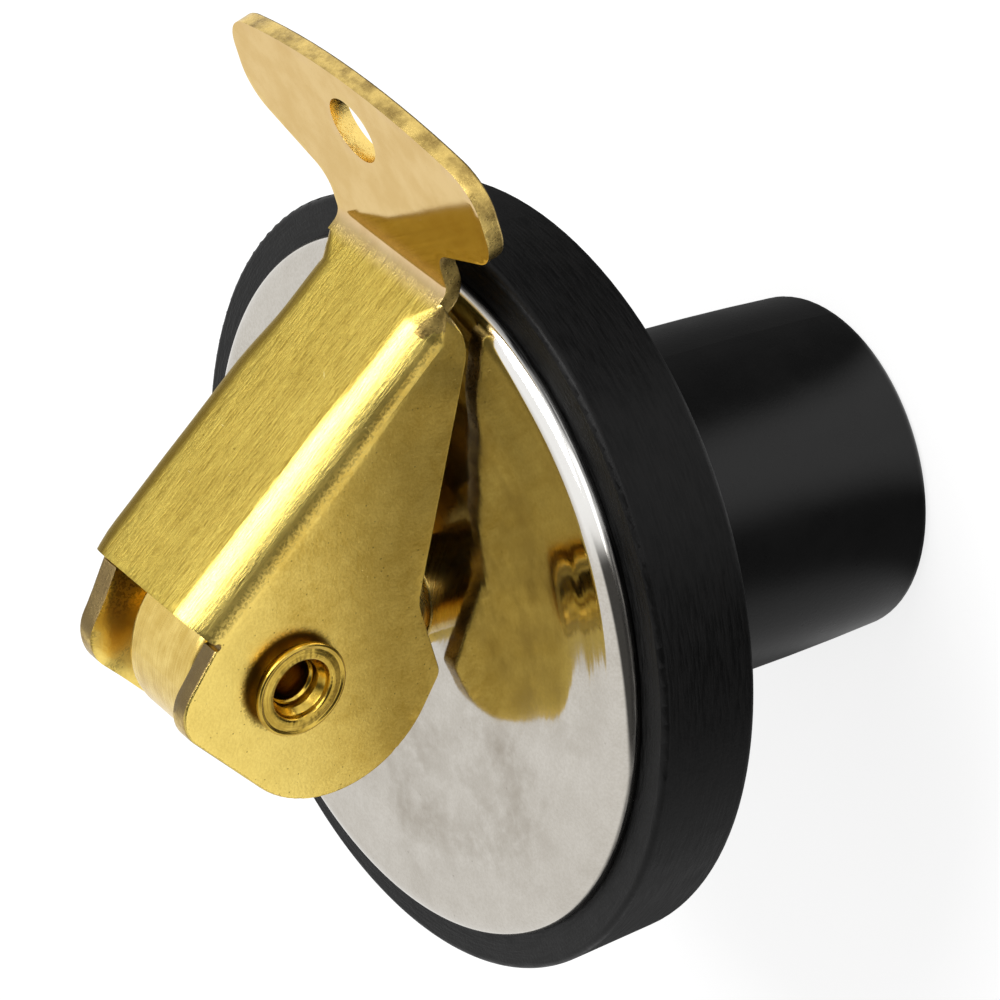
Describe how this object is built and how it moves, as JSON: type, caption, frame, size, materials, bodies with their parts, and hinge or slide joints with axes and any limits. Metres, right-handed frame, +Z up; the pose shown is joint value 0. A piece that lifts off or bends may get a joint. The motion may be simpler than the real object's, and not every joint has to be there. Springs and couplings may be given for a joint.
{
  "type": "baitwell plug",
  "caption": "Drain plug for a boat's bait well: a folded cam lever pulls a stem that squeezes a flanged rubber stopper until it grips the tube.",
  "frame": {"origin": "centre of the flange's underside, which seats on the drain's rim", "axes": "+Z up the plug's axis to the lever, +X from the rivet towards the thumb tab of the shut lever, +Y across the lever"},
  "size_m": [0.0501, 0.0402, 0.0423],
  "materials": {
    "black_rubber": "moulded black rubber, matt on the flange and satin on the plug",
    "plated_steel": "bright nickel plate, lightly stained",
    "rolled_brass": "rolled sheet brass with a fine grain along the fold",
    "eyelet_brass": "bright drawn brass",
    "turned_brass": "turned brass"
  },
  "bodies": {
    "plug": {"rubber_stopper": "black_rubber", "cover_disc": "plated_steel"},
    "anchor": {"end_washer": "turned_brass", "captive_nut": "turned_brass"},
    "stem": {"eye_stem": "turned_brass"},
    "lever": {"lever": "rolled_brass", "pivot_rivet": "eyelet_brass"}
  },
  "joints": [
    {"name": "squeeze", "type": "slide", "parent": "plug", "child": "anchor", "axis": [0, 0, 1], "range_m": [-0.00115, 0]},
    {"name": "fit_turn", "type": "hinge", "parent": "anchor", "child": "stem", "pos_m": [0, 0, 0], "axis": [0, 0, 1], "continuous": true},
    {"name": "lever_flip", "type": "hinge", "parent": "stem", "child": "lever", "pos_m": [0, 0, 0.0167], "axis": [0, -1, 0], "range_deg": [0, 133.9]}
  ],
  "couplings": [
    {"joint": "squeeze", "follows": "lever_flip", "m_per_rad": -0.000449}
  ]
}
